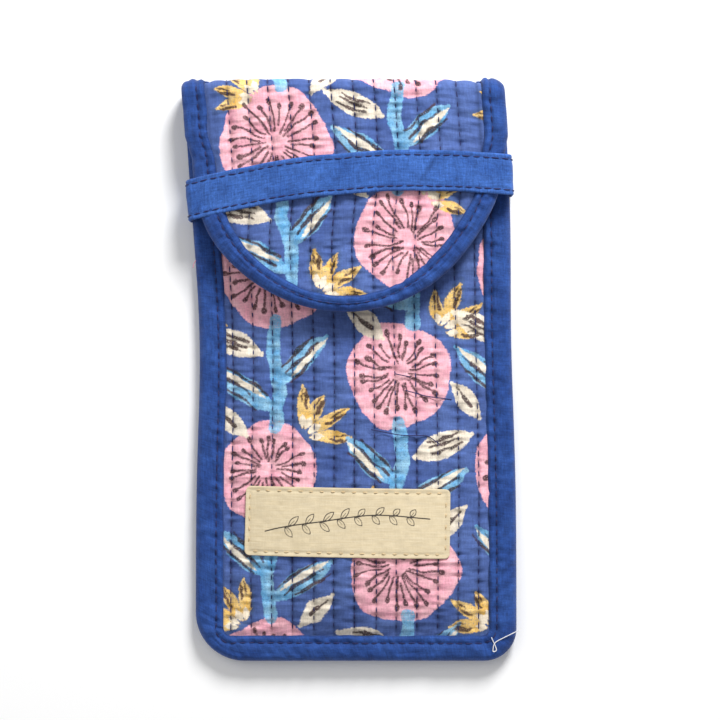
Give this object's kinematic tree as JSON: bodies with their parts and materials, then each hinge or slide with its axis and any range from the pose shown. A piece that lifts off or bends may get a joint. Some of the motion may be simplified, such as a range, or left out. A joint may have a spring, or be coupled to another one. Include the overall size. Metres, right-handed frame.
{
  "type": "soft glasses case",
  "caption": "Soft quilted cotton pouch for glasses, bound at its edges, with a round-ended fold-over flap held under a cloth strap.",
  "frame": {"origin": "middle of the flat underside (the case's back) on the surface it lies on", "axes": "+Z out of the case's front, +Y along its length towards the fold at the top end, +X to the right of someone facing the front"},
  "size_m": [0.0998, 0.18, 0.0174],
  "materials": {
    "print_cloth": "matte hand-printed cotton, dull violet-blue ground with pink, yellow, light blue and cream flowers",
    "wadding": "soft cotton wadding, hidden",
    "lining_cloth": "matte plain blue cotton",
    "binding_cloth": "matte plain blue cotton, visible weave",
    "label_cloth": "matte cream cotton tape",
    "quilting_thread": "navy cotton thread",
    "label_thread": "cream cotton thread"
  },
  "bodies": {
    "root": {"back_lining": "lining_cloth", "back_outer_cloth": "print_cloth", "back_quilting_threads": "quilting_thread", "back_wadding": "wadding", "body_binding": "binding_cloth", "body_binding_threads": "quilting_thread", "front_lining": "lining_cloth", "front_outer_cloth": "print_cloth", "front_quilting_threads": "quilting_thread", "front_wadding": "wadding", "label_patch": "label_cloth", "label_threads": "label_thread", "mouth_binding": "binding_cloth", "mouth_binding_threads": "quilting_thread", "strap_band": "binding_cloth", "strap_threads": "quilting_thread"},
    "fold": {"fold_binding_left": "binding_cloth", "fold_binding_right": "binding_cloth", "fold_lining": "lining_cloth", "fold_outer_cloth": "print_cloth", "fold_quilting_threads": "quilting_thread", "fold_wadding": "wadding"},
    "flap": {"flap_binding": "binding_cloth", "flap_binding_threads": "quilting_thread", "flap_lining": "lining_cloth", "flap_outer_cloth": "print_cloth", "flap_quilting_threads": "quilting_thread", "flap_wadding": "wadding"}
  },
  "joints": [
    {"name": "flap_fold_lower", "type": "hinge", "parent": "root", "child": "fold", "pos_m": [0, 0.09, 0], "axis": [-1, 0, 0], "range_deg": [0, 90], "deforming": ["strap_band", "strap_threads"]},
    {"name": "flap_fold_upper", "type": "hinge", "parent": "fold", "child": "flap", "pos_m": [0, 0.09, 0.0168], "axis": [-1, 0, 0], "range_deg": [0, 90]}
  ],
  "couplings": [
    {"joint": "flap_fold_upper", "follows": "flap_fold_lower", "ratio": 1}
  ]
}
